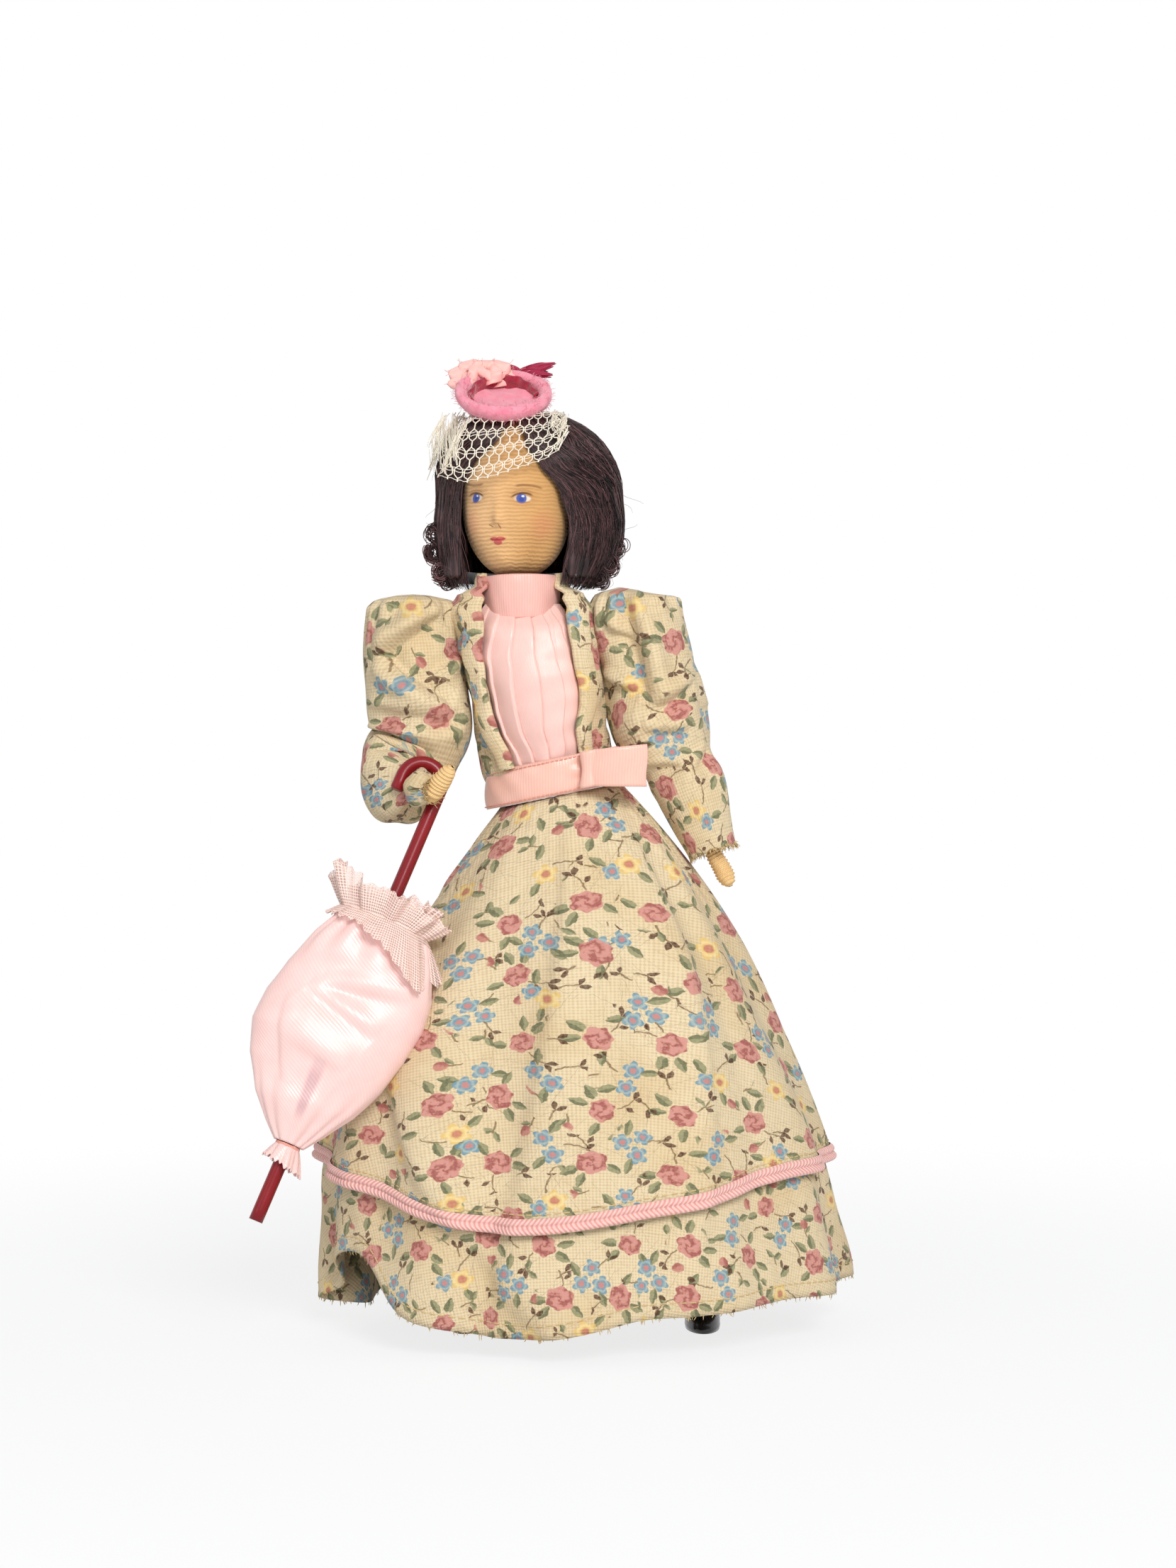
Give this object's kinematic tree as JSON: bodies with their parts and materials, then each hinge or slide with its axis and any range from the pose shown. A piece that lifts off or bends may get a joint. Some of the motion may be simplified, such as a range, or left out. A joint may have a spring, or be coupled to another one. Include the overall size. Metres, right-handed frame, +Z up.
{
  "type": "miniature doll",
  "caption": "Standing cloth lady doll on a bendable wire armature, in a printed jacket and long skirts, with a small hat and a closed parasol hooked over one wrist.",
  "frame": {"origin": "centre of the footprint of the bounding box, on the plane of the shoe soles", "axes": "+Z up from the soles to the hat, -Y the way the doll faces, +X towards the doll's left arm"},
  "size_m": [0.0898, 0.061, 0.1508],
  "materials": {
    "printed_cotton": "cream cotton with a small rose and leaf print, fine plain weave",
    "pink_braid": "double-ridged pink braid",
    "blouse_satin": "pleated satin",
    "pink_satin": "pale satin with a soft sheen",
    "peach_ribbon": "peach satin ribbon with fine ribs",
    "pink_felt": "wool felt",
    "crimson_ribbon": "crimson ribbon",
    "salmon_ribbon": "salmon satin ribbon",
    "cream_net": "cream cotton net",
    "mohair": "dark brown mohair",
    "skin_cloth": "ribbed tan cloth and thread with painted features",
    "stuffing": "wound wool and wadding",
    "armature_wire": "drawn wire",
    "shoe_black": "glossy black",
    "parasol_lacquer": "crimson lacquer on a thin stick",
    "peach_lace": "gathered peach lace"
  },
  "bodies": {
    "torso": {"underskirt": "printed_cotton", "overskirt": "printed_cotton", "overskirt_braid": "pink_braid", "hip_pad": "stuffing", "torso_pad": "stuffing", "spine_wire": "armature_wire", "blouse_front": "blouse_satin", "jacket_bodice": "printed_cotton", "lapel_left": "printed_cotton", "lapel_right": "printed_cotton", "waist_ribbon": "peach_ribbon", "bow_knot": "peach_ribbon", "bow_loop": "peach_ribbon", "neck_wrap": "stuffing", "neck_ribbon": "pink_satin"},
    "head": {"head_core": "stuffing", "face_cover": "skin_cloth", "wig_left": "mohair", "wig_right": "mohair", "wig_back": "mohair", "wig_crown": "mohair", "hat_brim": "pink_felt", "hat_lining": "crimson_ribbon", "hat_flower": "salmon_ribbon", "hat_bow": "crimson_ribbon", "hat_veil": "cream_net"},
    "left_upper_arm": {"left_upper_sleeve": "printed_cotton", "left_upper_arm_wire": "armature_wire"},
    "left_forearm": {"left_forearm_sleeve": "printed_cotton", "left_forearm_wire": "armature_wire", "left_hand": "skin_cloth"},
    "right_upper_arm": {"right_upper_sleeve": "printed_cotton", "right_upper_arm_wire": "armature_wire"},
    "right_forearm": {"right_forearm_sleeve": "printed_cotton", "right_forearm_wire": "armature_wire", "right_hand": "skin_cloth"},
    "parasol": {"parasol_stick": "parasol_lacquer", "parasol_cover": "pink_satin", "parasol_lace": "peach_lace", "parasol_tie": "pink_satin"},
    "left_thigh": {"left_thigh_wrap": "stuffing", "left_thigh_wire": "armature_wire"},
    "left_shin": {"left_shin_wrap": "stuffing", "left_shin_wire": "armature_wire", "left_shoe": "shoe_black"},
    "right_thigh": {"right_thigh_wrap": "stuffing", "right_thigh_wire": "armature_wire"},
    "right_shin": {"right_shin_wrap": "stuffing", "right_shin_wire": "armature_wire", "right_shoe": "shoe_black"}
  },
  "joints": [
    {"name": "head_turn", "type": "hinge", "parent": "torso", "child": "head", "pos_m": [-0.00562, 0.00044, 0.1146], "axis": [0, 0, 1], "range_deg": [-20, 50]},
    {"name": "left_shoulder_swing", "type": "hinge", "parent": "torso", "child": "left_upper_arm", "pos_m": [0.01258, 0.00044, 0.1045], "axis": [-1, 0, 0], "range_deg": [-25, 60]},
    {"name": "left_elbow_bend", "type": "hinge", "parent": "left_upper_arm", "child": "left_forearm", "pos_m": [0.01858, 0.00044, 0.087], "axis": [-1, 0, 0], "range_deg": [0, 60]},
    {"name": "right_shoulder_swing", "type": "hinge", "parent": "torso", "child": "right_upper_arm", "pos_m": [-0.02192, 0.00044, 0.104], "axis": [-1, 0, 0], "range_deg": [0, 35]},
    {"name": "right_elbow_bend", "type": "hinge", "parent": "right_upper_arm", "child": "right_forearm", "pos_m": [-0.02542, 0.00145, 0.0836], "axis": [-1, 0, 0], "range_deg": [0, 25]},
    {"name": "parasol_swing", "type": "hinge", "parent": "right_forearm", "child": "parasol", "pos_m": [-0.02012, -0.01035, 0.0833], "axis": [-0.0812, 0.9775, -0.1948], "range_deg": [0, 30]},
    {"name": "left_hip_swing", "type": "hinge", "parent": "torso", "child": "left_thigh", "pos_m": [0.00648, 0.00044, 0.07328], "axis": [1, 0, 0], "range_deg": [-8, 8]},
    {"name": "right_hip_swing", "type": "hinge", "parent": "torso", "child": "right_thigh", "pos_m": [-0.00452, 0.00044, 0.07135], "axis": [1, 0, 0], "range_deg": [-8, 8]},
    {"name": "left_knee_bend", "type": "hinge", "parent": "left_thigh", "child": "left_shin", "pos_m": [0.01381, 0.00167, 0.04164], "axis": [1, 0, 0], "range_deg": [0, 12]},
    {"name": "right_knee_bend", "type": "hinge", "parent": "right_thigh", "child": "right_shin", "pos_m": [-0.00894, 0.00167, 0.04061], "axis": [1, 0, 0], "range_deg": [0, 12]}
  ]
}
